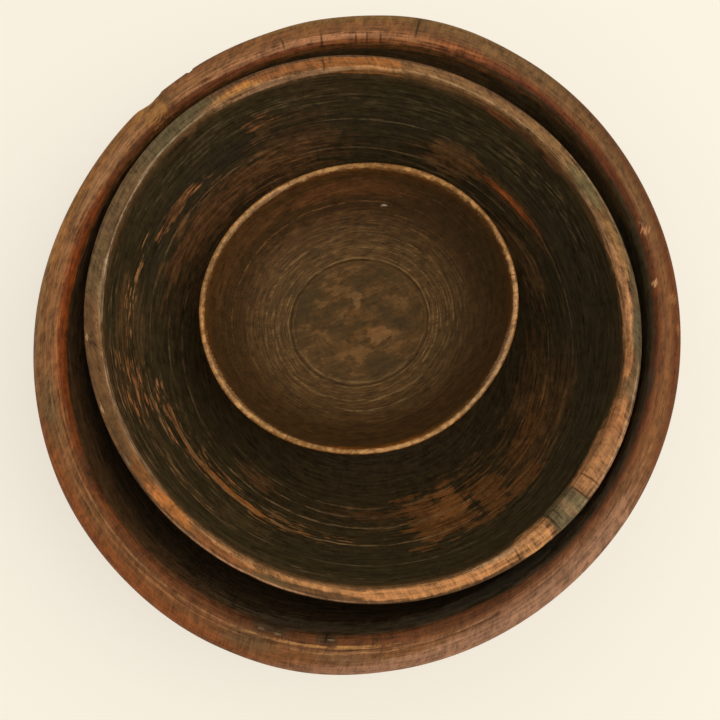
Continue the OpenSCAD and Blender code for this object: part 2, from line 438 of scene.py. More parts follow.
def reckon(tree, operation, a, b=0.0, c=0.0):
    """One step of arithmetic."""
    return put(tree, "ShaderNodeMath", {0: a, 1: b, 2: c}, operation=operation).outputs[0]


def times(tree, a, b):
    """One value times another."""
    return reckon(tree, "MULTIPLY", a, b)


def vector(tree, operation, a, b=(0, 0, 0), c=(0, 0, 0)):
    """One step of arithmetic on three values at once."""
    return put(tree, "ShaderNodeVectorMath", {0: a, 1: b, 2: c}, operation=operation).outputs[0]


def join(tree, x, y, z=0.0):
    """Three values as one vector."""
    return put(tree, "ShaderNodeCombineXYZ", {0: x, 1: y, 2: z}).outputs[0]


def stretch(tree, value, low, high, to_low=0.0, to_high=1.0):
    """value from low..high to to_low..to_high, eased at both ends."""
    feeds = {"Value": value, "From Min": low, "From Max": high, "To Min": to_low, "To Max": to_high}
    return put(tree, "ShaderNodeMapRange", feeds, interpolation_type="SMOOTHSTEP").outputs[0]


def noise(tree, spot, detail, low, high):
    """Noise at a spot, with the levels from low to high stretched out to 0..1."""
    feeds = {"Vector": spot, "Scale": 1.0, "Detail": detail, "Roughness": 0.6}
    return stretch(tree, put(tree, "ShaderNodeTexNoise", feeds).outputs["Fac"], low, high)


def paint(tree, share, under, over, way="MIX"):
    """One colour over another, by a share."""
    feeds = {0: share, 6: under, 7: over}
    return put(tree, "ShaderNodeMix", feeds, data_type="RGBA", blend_type=way).outputs[2]


print("screen brown 120 80 48 as light:", [round(v, 3) for v in tint(120, 80, 48)[:3]])

# %% helpers for node groups
def new_group(name, inputs, outputs):
    """An empty node group with named sockets. Inputs are name: usual value."""
    tree = bpy.data.node_groups.new(name, "ShaderNodeTree")
    for key, usual in inputs.items():
        kind = "NodeSocketVector" if isinstance(usual, tuple) else "NodeSocketFloat"
        tree.interface.new_socket(key, in_out="INPUT", socket_type=kind).default_value = usual
    for key in outputs:
        tree.interface.new_socket(key, in_out="OUTPUT", socket_type="NodeSocketFloat")
    return tree, put(tree, "NodeGroupInput").outputs, put(tree, "NodeGroupOutput").inputs


def use(tree, group, **feeds):
    """Places a node group. Spaces in its socket names are written as _."""
    made = put(tree, "ShaderNodeGroup", node_tree=bpy.data.node_groups[group])
    for key, value in feeds.items():
        feed(tree, made.inputs[key.replace("_", " ")], value)
    return made.outputs


def turn_and_along(tree):
    """The attributes that the lathe step stored: cosine and sine of the turn, and mm along the section."""
    turn = put(tree, "ShaderNodeAttribute", attribute_name="turn").outputs["Vector"]
    along = put(tree, "ShaderNodeAttribute", attribute_name="along").outputs["Fac"]
    return put(tree, "ShaderNodeSeparateXYZ", {0: turn}).outputs, along


print("node helpers ready")

# %% [markdown]
# ## Where on the bowl
# All the wear of a turned bowl runs in rings, so the first shared group answers one question:
# how far round is this point, in degrees, and how far along the section, in millimetres?
# It reads the two attributes that the lathe step stored on the mesh.

# %% shared group: where on the bowl
tree, _, out = new_group("where on bowl", {}, ["Angle", "Along"])
turn, along = turn_and_along(tree)
feed(tree, out["Angle"], times(tree, reckon(tree, "ARCTAN2", turn[1], turn[0]), 180 / math.pi))
feed(tree, out["Along"], along)
print("group:", tree.name)

# %% [markdown]
# ## Turning lines
# A gouge leaves fine lines that run round the bowl. Noise makes them:
# it changes slowly round the turn and quickly along the section. It could be a wave texture,
# but real lines start, fade and stop, and noise does that by itself.

# %% shared group: turning lines
tree, given, out = new_group("turning lines", {"Around": 4.0, "Across": 1.0, "Seed": 0.0}, ["Value"])
turn, along = turn_and_along(tree)
around = [times(tree, part, given["Around"]) for part in (turn[0], turn[1])]
across = reckon(tree, "ADD", times(tree, along, given["Across"]), given["Seed"])
feed(tree, out["Value"], noise(tree, join(tree, *around, across), 3.0, 0.28, 0.72))
print("group:", tree.name)

# %% [markdown]
# ## Long grain and stains
# Under the tool lines lies the wood's own grain: straight streaks that run one way through the block.
# The group turns the object's own coordinates to the grain, and stretches noise along it.
# With no stretch the same group gives the cloudy stains of old oil and flour.

# %% shared group: long grain
usual = {"Grain": 0.0, "Fine": 500.0, "Stretch": 0.03, "Seed": 0.0}
tree, given, out = new_group("long grain", usual, ["Value"])
own = put(tree, "ShaderNodeTexCoord").outputs["Object"]
lined = put(tree, "ShaderNodeVectorRotate",
            {"Vector": own, "Angle": times(tree, given["Grain"], -math.pi / 180)},
            rotation_type="Z_AXIS").outputs[0]
part = put(tree, "ShaderNodeSeparateXYZ", {0: lined}).outputs
down_grain = times(tree, part[0], times(tree, given["Fine"], given["Stretch"]))
across = [times(tree, part[k], given["Fine"]) for k in (1, 2)]
spot = join(tree, reckon(tree, "ADD", down_grain, given["Seed"]), *across)
feed(tree, out["Value"], noise(tree, spot, 4.0, 0.3, 0.7))
print("group:", tree.name)

# %% [markdown]
# ## Patches of wear and of painted light
# Where hands and spoons rubbed, the dark skin is gone and brown wood shows. A patch is an oval
# on the wall, given by its place and half sizes, and its edge is torn by grit,
# so that it breaks into streaks as the real ones do. A block is the same with fuller corners.
# Angle and way along travel as one vector: a bowl has dozens of patches,
# and every node of each is paid for at every sample. Thin cracks and lines are patches made narrow.
# The same patches and blocks also paint sheen, highlights and shade into the colour, where the tables say
# so.

# %% shared groups: wear and light patch, and wear and shade block
WRAP = (180, 5000, 1)  # angles come round again at half a turn, ways along never do


def patch_group(name, full_corners):
    """A mask that is Much in the middle of its place and 0 outside it."""
    tree, given, out = new_group(name, {
        "Spot": (0, 0, 0), "At": (0, 0, 0), "Half": (10, 10, 1),
        "Torn": 1.0, "Soft": 0.2, "Much": 1.0}, ["Mask"])
    off = vector(tree, "SUBTRACT", given["Spot"], given["At"])
    off = vector(tree, "WRAP", off, WRAP, [-limit for limit in WRAP])
    off = vector(tree, "DIVIDE", off, given["Half"])
    if full_corners:
        off = vector(tree, "MULTIPLY", off, off)
    apart = put(tree, "ShaderNodeVectorMath", {0: off}, operation="LENGTH").outputs["Value"]
    if full_corners:
        apart = reckon(tree, "SQRT", apart)
    near = reckon(tree, "SUBTRACT", given["Torn"], apart)
    soft = given["Soft"]
    feed(tree, out["Mask"], stretch(tree, near, times(tree, soft, -1.0), soft, 0.0, given["Much"]))
    print("group:", tree.name, "with", len(tree.nodes), "nodes")


patch_group("wear and light patch", False)
patch_group("wear and shade block", True)

# %% [markdown]
# ## Fine marks of the wood
# Seen close, no spot of the wood has one colour. Long lines, short dashes, cloudy stains and grain
# all make it a little lighter or darker, and dark pores speck it. This group adds them up
# into one "Shade" to multiply the colour by, and gives "Grit" for torn edges, roughness and bump,
# and "Dash" and "Streak" for flecks.

# %% shared group: fine marks
usual = {"Around": 5.0, "Across": 0.5, "Dash Around": 12.0, "Dash Across": 0.5,
         "Grain": 0.0, "Cloud": 95.0, "Seed": 0.0,
         "Lines": 0.5, "Dashes": 0.4, "Stains": 0.3, "Streaks": 0.3, "Pores": 0.4}
tree, given, out = new_group("fine marks", usual, ["Shade", "Grit", "Dash", "Streak"])
seed = given["Seed"]
dash_seed, pore_seed = [reckon(tree, "ADD", seed, more) for more in (37.0, 61.0)]
line = use(tree, "turning lines", Around=given["Around"], Across=given["Across"], Seed=seed)["Value"]
dash = use(tree, "turning lines", Around=given["Dash Around"], Across=given["Dash Across"],
           Seed=dash_seed)["Value"]
grain = given["Grain"]
stain = use(tree, "long grain", Grain=grain, Fine=given["Cloud"], Stretch=0.7, Seed=seed)["Value"]
streak = use(tree, "long grain", Grain=grain, Fine=620.0, Stretch=0.09, Seed=seed)["Value"]
speck = use(tree, "long grain", Grain=grain, Fine=1150.0, Stretch=0.22, Seed=pore_seed)["Value"]
shade = 1.0
for mark, much in ((line, "Lines"), (dash, "Dashes"), (stain, "Stains"), (streak, "Streaks")):
    shade = reckon(tree, "ADD", times(tree, reckon(tree, "SUBTRACT", mark, 0.5), given[much]), shade)
pores = times(tree, stretch(tree, speck, 0.66, 0.92), given["Pores"])
feed(tree, out["Shade"], reckon(tree, "SUBTRACT", shade, pores))
grit = reckon(tree, "ADD", times(tree, line, 0.45), times(tree, dash, 0.30))
feed(tree, out["Grit"], reckon(tree, "ADD", grit, times(tree, stain, 0.25)))
feed(tree, out["Dash"], dash)
feed(tree, out["Streak"], streak)
print("group:", tree.name)

# %% [markdown]
# ## How a finish is laid up
# All three woods go on in the same order: a ground colour that changes along the section,
# then patches of wear and of painted light and shade by name, then the fine marks,
# which darken or lighten everything a little.
# The tables below give each patch as angle, half angle, along, half along, colour and strength.
# A half angle of 400 goes all the way round.

# %% helpers that lay up a finish
def ground(tree, along, stops):
    """Colours along the section: (mm along, colour), blended between."""
    first, last = stops[0][0], stops[-1][0]
    feeds = {"Value": along, "From Min": float(first), "From Max": float(last)}
    ramp = put(tree, "ShaderNodeValToRGB", {0: put(tree, "ShaderNodeMapRange", feeds).outputs[0]})
    for k, (way, colour) in enumerate(stops):
        at = (way - first) / (last - first)
        stop = ramp.color_ramp.elements[k] if k < 2 else ramp.color_ramp.elements.new(at)
        stop.position, stop.color = at, tint(*colour)
    return ramp.outputs["Color"]


def wear_and_light(tree, colour, spot, patches, grit=0.5, ragged=0.9, soft=0.25, form="wear and light patch", through=None):
    """Paints a table of patches over a colour, torn by grit, and only through a mask if one is given."""
    torn = reckon(tree, "MULTIPLY_ADD", grit, ragged, 1 - ragged / 2)
    for at, half, on, half_on, shade, much in patches:
        mask = use(tree, form, Spot=spot, At=(at, on, 0), Half=(half, half_on, 1),
                   Torn=torn, Soft=soft, Much=much)["Mask"]
        if through:
            mask = times(tree, mask, through)
        colour = paint(tree, mask, colour, tint(*shade))
    return colour


def levels(tree, along, first, second):
    """Two changes along the section, multiplied. Each is from, to, and the values there if not 0 and 1."""
    return times(tree, stretch(tree, along, *first), stretch(tree, along, *second))


def mottle(tree, colour, mark, low, high, much, where, shade):
    """Paints a shade where a mark lies from low to high, and only where a mask says."""
    share = times(tree, stretch(tree, mark, low, high, 0.0, much), where)
    return paint(tree, share, colour, tint(*shade))


def torn_by(tree, broad, fine):
    """An edge torn mostly by a broad noise and a little by a fine one."""
    return reckon(tree, "MULTIPLY_ADD", broad, 0.7, times(tree, fine, 0.3))


CRACK_LINE = 0.2  # half the width of the dark line, in degrees
CRACK_LINE_PAST = 1  # mm that it runs past each end


def cracks_of(tree, colour, spot, name, shade, much):
    """Dark lines in the cracks that the mesh has."""
    lines = [(at, CRACK_LINE, (start + end) / 2, (end - start) / 2 + CRACK_LINE_PAST, shade, much)
             for at, start, end, _ in WORN[name]["cracks"]]
    return wear_and_light(tree, colour, spot, lines, soft=0.5)


def new_wood(name):
    """A new material on its bowl: its tree, its shader, and where on the bowl each point is."""
    made = bpy.data.materials.new(name)
    made.use_nodes = True
    turned[name.split("_")[0]].data.materials.append(made)
    tree = made.node_tree
    where = use(tree, "where on bowl")
    spot = join(tree, where["Angle"], where["Along"])
    return tree, tree.nodes["Principled BSDF"], where["Along"], spot


ROUGH_SPREAD = 0.12  # how far grit makes the wood smoother or rougher
WOOD_GLOSS = 0.10


def finish_wood(name, tree, bsdf, colour, marks, rough, depth):
    """Lays the fine marks over the colour, and adds roughness and bump."""
    colour = paint(tree, 1.0, colour, marks["Shade"], "MULTIPLY")
    feed(tree, bsdf.inputs["Base Color"], colour)
    least, most = rough - ROUGH_SPREAD, rough + ROUGH_SPREAD
    feed(tree, bsdf.inputs["Roughness"], stretch(tree, marks["Grit"], 0.0, 1.0, least, most))
    bump = put(tree, "ShaderNodeBump", {"Height": marks["Grit"], "Strength": 0.5, "Distance": depth})
    feed(tree, bsdf.inputs["Normal"], bump.outputs[0])
    bsdf.inputs["Specular IOR Level"].default_value = WOOD_GLOSS
    print(name, "wood:", len(tree.nodes), "nodes")


print("finish helpers ready")

# %% [markdown]
# ## The large bowl's wood
# A broad brown rim with fine lines round it, redder where it slopes inward, and dark inside.
# The left of the slope is worn to orange and the ridge in front is chipped pale. The shine of the band
# at the right front, and of the ridge at the back, is painted into the colour in pale pinkish tones.

# %% the large wood: ground, broad stains and painted sheen
tree, bsdf, along, spot = new_wood("large_turned_wood")
grain = BOWLS["large"]["grain"]
marks = use(tree, "fine marks", Around=8.0, Across=0.62, Dash_Around=20.0, Dash_Across=0.50,
            Grain=grain, Cloud=170.0, Seed=3.0,
            Lines=levels(tree, along, (-40.0, -24.0, 0.56, 0.42), (-9.0, -3.0, 1.0, 1.6)),
            Dashes=stretch(tree, along, -40.0, -24.0, 0.30, 0.10),
            Stains=0.46, Streaks=0.26, Pores=0.27)
grit = marks["Grit"]
colour = ground(tree, along, [
    (-232, (58, 38, 23)), (-140, (74, 46, 26)), (-60, (84, 51, 29)), (-26, (94, 57, 31)),
    (-19, (108, 66, 35)), (-14, (120, 76, 42)), (-9, (123, 79, 44)), (-2, (120, 78, 46)),
    (2, (110, 64, 35)), (7, (94, 54, 28)), (11, (72, 52, 32)), (17, (66, 51, 33)), (60, (60, 46, 30))])
hue = use(tree, "long grain", Grain=grain, Fine=52.0, Stretch=0.5, Seed=13.0)["Value"]
on_band = levels(tree, along, (8.0, 3.0), (-60.0, -20.0, 0.45, 1.0))
colour = mottle(tree, colour, hue, 0.52, 0.95, 0.34, on_band, (142, 94, 52))
colour = mottle(tree, colour, hue, 0.48, 0.05, 0.34, on_band, (92, 62, 36))
colour = wear_and_light(tree, colour, spot, [
    # (98, ...) paints the highlight on the ridge at the back in pale pinkish tan.
    (98, 26, 3, 2.8, (168, 116, 80), 0.8), (104, 30, 7, 1.8, (118, 60, 34), 0.7),
    (140, 24, -4, 7, (144, 100, 62), 0.6), (182, 34, 6.5, 4.4, (122, 57, 18), 0.95),
    (184, 26, 1.5, 2.5, (134, 76, 40), 0.7), (182, 22, -3, 5, (138, 95, 58), 0.6),
    # (305, ...) and (290, ...) paint the sheen of the band at the right front in pale pink.
    (305, 22, -10, 9, (146, 106, 80), 0.75), (290, 34, -16.5, 6, (154, 112, 86), 0.75),
    (44, 30, -9, 9, (104, 74, 43), 0.7), (42, 22, 5, 2.6, (116, 58, 34), 0.6),
    (12, 24, 2.4, 3.0, (84, 43, 17), 0.75), (70, 6, 3, 4.6, (148, 84, 44), 0.6),
    (79, 6, 3, 5, (150, 96, 58), 0.5), (140, 14, 7, 3, (96, 54, 25), 0.7),
    (262, 34, 3, 4, (96, 56, 30), 0.6), (285, 44, -3, 3, (106, 64, 37), 0.5),
    (60, 16, -14, 9, (114, 84, 50), 0.6), (215, 22, 5, 5, (96, 54, 26), 0.6),
    (4, 30, -17, 6, (100, 50, 19), 0.8), (32, 20, -17, 6, (96, 58, 30), 0.6),
    (240, 24, -10, 9, (120, 72, 38), 0.6), (352, 24, -2, 3.5, (106, 60, 30), 0.6),
    (340, 28, 5.0, 4.0, (66, 33, 15), 0.75), (300, 16, 2.6, 2.4, (80, 46, 25), 0.6),
    (224, 30, -16, 6, (128, 69, 33), 0.7), (88, 20, -17, 6, (122, 92, 48), 0.6),
    (150, 20, -16, 6, (142, 96, 48), 0.6), (180, 16, -16, 5, (136, 100, 62), 0.6),
    (88, 9, 6.5, 2.2, (134, 82, 42), 0.6), (152, 12, -3, 4, (150, 106, 70), 0.6)],
    grit, 1.0, 0.35)
print("large band laid up")

# %% the large wood: the dark inside, small stains, lines and splits
# These blocks paint the dark skin inside the rim. Where they start high on the slope, at the right and the
# back, they also paint the shade that falls in the gap between the large and middle bowls.
colour = wear_and_light(tree, colour, spot, [
    (322, 30, 17.5, 13.2, (56, 47, 32), 0.9), (8, 26, 17.5, 13.0, (58, 50, 32), 0.9),
    (45, 22, 19, 12.5, (70, 54, 33), 0.8), (78, 16, 20, 11, (82, 60, 35), 0.7),
    (108, 24, 21, 11, (72, 56, 34), 0.7), (143, 16, 20, 11.5, (62, 48, 28), 0.6)],
    grit, 0.25, 0.06, "wear and shade block")
colour = wear_and_light(tree, colour, spot, [
    (215, 34, 22, 11, (86, 60, 36), 0.8), (278, 32, 22, 11, (86, 70, 50), 0.85),
    (304, 24, 23, 9, (98, 88, 70), 0.8), (244, 14, 12, 3, (108, 70, 42), 0.6),
    (105, 56, 11.5, 2.6, (120, 73, 36), 0.65), (332, 16, 11.5, 2.2, (98, 62, 32), 0.6),
    (34, 18, 11.5, 2.2, (94, 60, 31), 0.5)], grit, 1.0, 0.35)
colour = wear_and_light(tree, colour, spot, [
    (166, 5, -13, 4, (154, 104, 58), 0.6), (152, 6, 0, 3, (152, 108, 68), 0.5),
    (78, 1.6, -12, 11, (94, 68, 38), 0.6), (200, 4, -6, 9, (102, 72, 42), 0.5),
    (196, 4, -8, 6, (100, 80, 50), 0.5), (158, 3, -9, 3, (108, 80, 48), 0.5),
    (264.8, 1.6, 6, 5, (62, 48, 30), 0.7), (211, 3, 7, 4, (66, 46, 28), 0.6),
    (255, 3.4, 8, 6.5, (58, 48, 33), 0.75), (346.5, 3, 5, 3.5, (52, 44, 32), 0.6)], grit, 1.2,
    form="wear and shade block")
colour = wear_and_light(tree, colour, spot, [
    (252, 4.0, -6, 7, (92, 74, 48), 0.6), (268, 5, -8, 4, (104, 78, 54), 0.5),
    (256.5, 0.6, 3, 1.0, (146, 120, 86), 0.5), (253.5, 0.5, 4, 1.0, (142, 116, 80), 0.5),
    (265.5, 0.5, 4.4, 0.9, (136, 118, 92), 0.5)], grit, 1.2, 0.6)
thin = stretch(tree, marks["Dash"], 0.1, 0.45)
colour = wear_and_light(tree, colour, spot, [
    (265, 11, -0.4, 1.2, (172, 124, 72), 0.8), (268, 10, -4.4, 0.8, (164, 118, 74), 0.6),
    (264, 12, -2.4, 0.8, (84, 52, 28), 0.7), (232, 32, -0.8, 0.8, (150, 106, 66), 0.6),
    (232, 34, -4.6, 0.7, (146, 100, 60), 0.5), (230, 28, -2.4, 0.6, (92, 58, 32), 0.5),
    (226, 24, -7.6, 0.6, (94, 60, 34), 0.45), (195, 14, 2.0, 0.6, (168, 104, 56), 0.4),
    (284, 26, -3.0, 0.6, (144, 102, 70), 0.5), (300, 30, -9.0, 0.7, (154, 112, 84), 0.4),
    (36, 26, -3.6, 0.7, (132, 94, 60), 0.5), (120, 18, -1.0, 0.8, (160, 116, 74), 0.5)],
    grit, 0.8, through=thin)
colour = wear_and_light(tree, colour, spot, [
    (134.4, 2.6, -5, 10, (146, 101, 50), 0.7), (130.9, 0.6, -4, 8, (76, 50, 28), 0.5),
    (6.1, 0.5, 1, 2.2, (190, 142, 98), 0.6), (16.7, 0.6, -2, 3.4, (190, 132, 88), 0.6),
    (18.3, 0.4, 0, 1.6, (190, 150, 114), 0.5), (2.7, 0.8, -13, 3, (146, 98, 58), 0.5),
    (357.5, 0.8, -15, 3, (142, 96, 56), 0.5)], marks["Streak"], 2.0, 0.5)
colour = cracks_of(tree, colour, spot, "large", (46, 30, 18), 0.6)
finish_wood("large", tree, bsdf, colour, marks, 0.58, 0.0007)

# %% [markdown]
# ## The middle bowl's wood
# Inside, a green-black skin is worn to brown along the tool lines, most of all at the right front.
# The rim is tan where it was rubbed and grey where it was not, with orange on its inner edge.

# %% the middle wood: ground and rim
tree, bsdf, along, spot = new_wood("middle_turned_wood")
from_rim = {"Dashes": (0.22, 0.42), "Stains": (0.50, 0.36), "Streaks": (0.34, 0.26), "Pores": (0.36, 0.24)}
rim_end, wall_start = 6.0, 14.0
inward = {mark: stretch(tree, along, rim_end, wall_start, *much) for mark, much in from_rim.items()}
marks = use(tree, "fine marks", Around=5.0, Across=0.42, Dash_Around=11.0, Dash_Across=0.50,
            Grain=BOWLS["middle"]["grain"], Cloud=170.0, Seed=5.0, Lines=0.54, **inward)
grit = marks["Grit"]
colour = ground(tree, along, [
    (-200, (50, 37, 24)), (-60, (70, 50, 30)), (-14, (72, 51, 31)), (-8, (84, 59, 36)),
    (-5, (102, 71, 43)), (-1, (116, 79, 46)), (3, (146, 103, 64)), (7, (124, 90, 56)), (11, (82, 60, 35)),
    (15, (61, 48, 27)), (25, (55, 45, 25)), (120, (57, 45, 25)), (200, (62, 48, 28))])
colour = wear_and_light(tree, colour, spot, [
    (2, 22, -4.5, 3.5, (92, 75, 50), 0.8), (30, 7, -1, 6, (106, 92, 60), 0.85),
    (4, 13, 5, 5.5, (196, 138, 92), 0.85), (14, 7, -1, 3.5, (150, 110, 64), 0.6),
    (20, 8, 5.5, 2.6, (166, 126, 90), 0.6), (44, 10, -2, 4, (142, 106, 66), 0.6),
    (68, 14, -1, 4, (132, 96, 60), 0.6), (60, 22, 8.5, 2.6, (108, 76, 43), 0.6),
    (50, 14, 11, 1.8, (88, 50, 27), 0.6), (87, 6, 0, 4.5, (156, 96, 46), 0.8),
    (87, 6, 5.5, 2.6, (204, 148, 96), 0.7), (96, 6, 0, 4.2, (150, 92, 44), 0.8),
    (90, 10, 8.5, 2.2, (164, 104, 56), 0.6), (96, 8, 5.5, 2, (196, 148, 104), 0.6),
    (108, 12, 0, 4.5, (140, 86, 46), 0.8), (109, 14, 7.5, 3.4, (178, 134, 98), 0.75),
    (122, 7, 3.5, 2.2, (182, 134, 90), 0.7), (298, 8, 3.5, 2.6, (202, 156, 114), 0.7),
    (137, 12, -2, 7.5, (88, 77, 52), 0.9), (162, 20, -0.5, 6.8, (98, 77, 50), 0.85),
    (176, 9, 7, 3.4, (152, 124, 92), 0.75), (198, 20, -1, 4.6, (94, 67, 39), 0.8),
    (205, 19, 7.5, 2.8, (154, 122, 91), 0.8), (218, 4, 0, 4, (122, 74, 36), 0.7),
    (227, 6.5, 0, 4.5, (184, 113, 56), 0.85), (241, 8, -1, 4, (132, 80, 42), 0.8),
    (256, 16, 1, 2, (184, 128, 78), 0.7), (285, 17, -1, 4, (188, 128, 78), 0.85),
    (306, 4.4, 3, 11, (186, 130, 81), 0.85), (329, 11, 4, 12, (170, 117, 74), 0.85),
    (349, 5, 4, 4.5, (186, 126, 78), 0.8), (0, 9, 8.5, 2.4, (182, 126, 82), 0.6),
    (343, 2.5, -1, 4, (120, 92, 58), 0.7), (355, 5, -3.5, 4, (90, 78, 54), 0.8)],
    grit, 0.9)
colour = wear_and_light(tree, colour, spot, [
    (119, 4.5, 2, 2.6, (172, 117, 56), 0.65), (252.5, 5.5, -3.4, 2.2, (92, 70, 42), 0.85),
    (264, 4, -3.4, 1.2, (100, 68, 38), 0.8), (186.3, 0.8, -5, 1, (168, 134, 96), 0.6),
    (201.8, 1.0, -4.8, 1, (168, 134, 96), 0.6), (214, 1.2, -4.2, 1, (150, 130, 100), 0.5),
    (227.4, 0.4, 0, 5, (130, 88, 50), 0.6), (233.6, 0.5, 0, 4, (120, 80, 46), 0.6),
    (336, 4, 3, 7, (164, 104, 60), 0.5)],
    marks["Streak"], 1.2, 0.3)
colour = wear_and_light(tree, colour, spot, [
    (314.6, 4.1, 1, 13, (100, 88, 61), 0.92), (314.9, 1.0, 2, 9, (140, 108, 76), 0.55),
    (310.7, 0.3, 2, 11, (70, 55, 35), 0.6), (39, 3, 12.5, 3, (108, 66, 41), 0.5),
    (55, 3.5, 11, 3.5, (122, 73, 38), 0.55), (22, 5, 11, 3, (94, 62, 34), 0.5),
    (132.5, 1.6, 13, 4, (112, 79, 48), 0.5), (162, 3.5, 12, 3, (92, 61, 33), 0.55)], grit, 0.5, 0.16,
    "wear and shade block")
print("middle rim laid up")

# %% the middle wood: the worn inside
tear = use(tree, "turning lines", Around=7.0, Across=0.24, Seed=41.0)["Value"]
torn_edge = torn_by(tree, tear, grit)
colour = wear_and_light(tree, colour, spot, [
    (2, 34, 46, 31, (43, 36, 21), 0.7), (138, 30, 58, 16, (46, 38, 22), 0.6),
    (258, 22, 62, 12, (46, 38, 22), 0.4), (255, 24, 20, 7, (74, 60, 36), 0.6),
    (180, 9, 57, 9, (84, 62, 36), 0.6), (240, 9, 57, 8, (76, 58, 32), 0.6),
    (109, 12, 80, 32, (84, 57, 32), 0.8), (140, 26, 88, 17, (96, 62, 34), 0.75),
    (62, 8, 74, 14, (108, 73, 42), 0.7), (180, 12, 38, 8, (96, 66, 39), 0.5),
    (334, 18, 84, 16, (82, 56, 31), 0.6), (345, 16, 112, 12, (88, 60, 34), 0.55),
    (330, 11, 100, 10, (104, 66, 33), 0.6), (26, 16, 99, 9, (98, 69, 40), 0.6),
    (118, 44, 57, 7, (40, 32, 19), 0.5), (100, 8, 30, 16, (70, 52, 30), 0.5),
    (160, 14, 112, 10, (80, 56, 32), 0.5), (274, 12, 114, 7, (94, 62, 34), 0.6),
    (234, 6, 111, 8, (98, 66, 36), 0.6), (218, 24, 44, 9, (70, 53, 30), 0.5),
    (195, 7, 40, 24, (76, 56, 32), 0.6)],
    torn_edge, 1.6, 0.4)
colour = wear_and_light(tree, colour, spot, [
    (293, 9.5, 97, 27, (106, 67, 33), 0.9), (308, 5, 92, 24, (106, 67, 33), 0.85),
    (316, 6, 74, 9, (104, 66, 34), 0.7), (296.5, 5, 103, 15, (134, 85, 42), 0.75),
    (246, 8, 77, 2.4, (104, 68, 36), 0.7), (146, 8, 57, 4, (112, 72, 42), 0.65),
    (117, 3, 50, 12, (92, 63, 36), 0.5), (276, 6, 98, 3.0, (84, 61, 34), 0.45)], torn_edge, 1.5, 0.12,
    "wear and shade block")
colour = wear_and_light(tree, colour, spot, [
    (232, 11, 78.5, 3.6, (150, 90, 42), 0.9), (212, 12, 76, 2.0, (128, 84, 46), 0.8),
    (222, 20, 77.4, 1.1, (142, 96, 56), 0.7)],
    torn_edge, 0.7, 0.2, "wear and shade block")
colour = wear_and_light(tree, colour, spot, [
    (42, 16, 73, 6, (88, 58, 32), 0.7), (41, 12, 72.4, 2.2, (150, 80, 35), 0.85),
    (47, 5, 72.8, 1.6, (172, 90, 38), 0.7)],
    grit, 1.2, 0.5)
print("middle inside laid up")

# %% the middle wood: flecks, pale lines and the split
flecks = stretch(tree, marks["Dash"], 0.60, 0.88)
colour = wear_and_light(tree, colour, spot, [
    (196, 8, 42, 20, (160, 100, 58), 0.78), (172, 14, 45, 5, (158, 108, 66), 0.9),
    (220, 16, 43, 6, (130, 96, 60), 0.6), (148, 10, 57, 4.5, (150, 96, 56), 0.75),
    (38, 10, 40, 10, (104, 78, 50), 0.4), (117, 4, 41, 7, (150, 92, 52), 0.6),
    (204, 9, 70, 8, (160, 104, 62), 0.75), (260, 8, 23, 4, (116, 94, 66), 0.6),
    (200, 24, 22, 8, (112, 84, 56), 0.5), (60, 40, 36, 12, (90, 74, 48), 0.4),
    (130, 20, 30, 8, (94, 76, 52), 0.4), (315, 30, 100, 30, (122, 80, 44), 0.3),
    (235, 30, 80, 10, (160, 104, 58), 0.6), (130, 28, 84, 14, (122, 80, 46), 0.4)], grit, 1.0,
    through=flecks)
thin = stretch(tree, marks["Dash"], 0.05, 0.45)
colour = wear_and_light(tree, colour, spot, [
    (250, 52, 77.2, 0.8, (128, 102, 68), 0.7), (262, 46, 98.8, 0.8, (122, 96, 64), 0.7),
    (244, 22, 87.2, 0.7, (116, 90, 60), 0.7), (252, 26, 111, 0.8, (118, 92, 62), 0.7),
    (268, 28, 47.8, 0.8, (104, 88, 60), 0.6), (80, 22, 57.2, 0.8, (104, 86, 58), 0.6),
    (66, 34, 84.6, 0.8, (114, 90, 60), 0.6), (16, 20, 72, 0.7, (104, 82, 54), 0.6),
    (196, 22, 90.5, 0.7, (108, 84, 54), 0.6), (150, 36, 69.8, 0.7, (108, 82, 52), 0.6),
    (203, 10, 61.5, 0.8, (132, 102, 68), 0.7), (352, 18, 98, 0.7, (104, 78, 48), 0.6),
    (34, 32, 94, 0.7, (104, 78, 50), 0.6), (258, 34, 121, 0.7, (108, 84, 56), 0.6),
    (186, 26, 104, 0.7, (100, 76, 50), 0.6), (60, 30, 92, 0.6, (98, 76, 50), 0.5),
    (195, 20, 21, 0.8, (118, 94, 64), 0.6), (230, 40, 64, 0.6, (92, 74, 48), 0.4),
    (300, 40, 58, 0.6, (84, 66, 42), 0.4), (80, 36, 32, 0.6, (86, 72, 48), 0.4)], grit, 1.0, through=thin)
# Pale lines along the rim's worn edges. The bright ones on the inner edge at the left, from 137 to 202
# degrees, also paint that edge's highlight.
colour = wear_and_light(tree, colour, spot, [
    (158, 14, 6.9, 0.9, (200, 174, 148), 0.8), (202, 15, 5.4, 0.7, (186, 156, 124), 0.6),
    (137, 11, 5.0, 0.9, (168, 152, 124), 0.75), (58, 24, 2.8, 0.7, (174, 144, 106), 0.6),
    (240, 9, 2.2, 0.6, (194, 146, 98), 0.6), (250, 22, -5.8, 0.6, (172, 126, 94), 0.6),
    (24, 14, -5.2, 0.5, (170, 136, 98), 0.5), (332, 15, -5.0, 0.8, (180, 144, 108), 0.6)], grit, 0.7, 0.4)
colour = wear_and_light(tree, colour, spot, [
    (303.2, 0.5, 84, 15, (46, 38, 23), 0.7), (301.4, 0.4, 108, 10, (58, 44, 25), 0.5)], grit, 0.9)
colour = cracks_of(tree, colour, spot, "middle", (56, 39, 24), 0.6)
finish_wood("middle", tree, bsdf, colour, marks, 0.60, 0.0007)
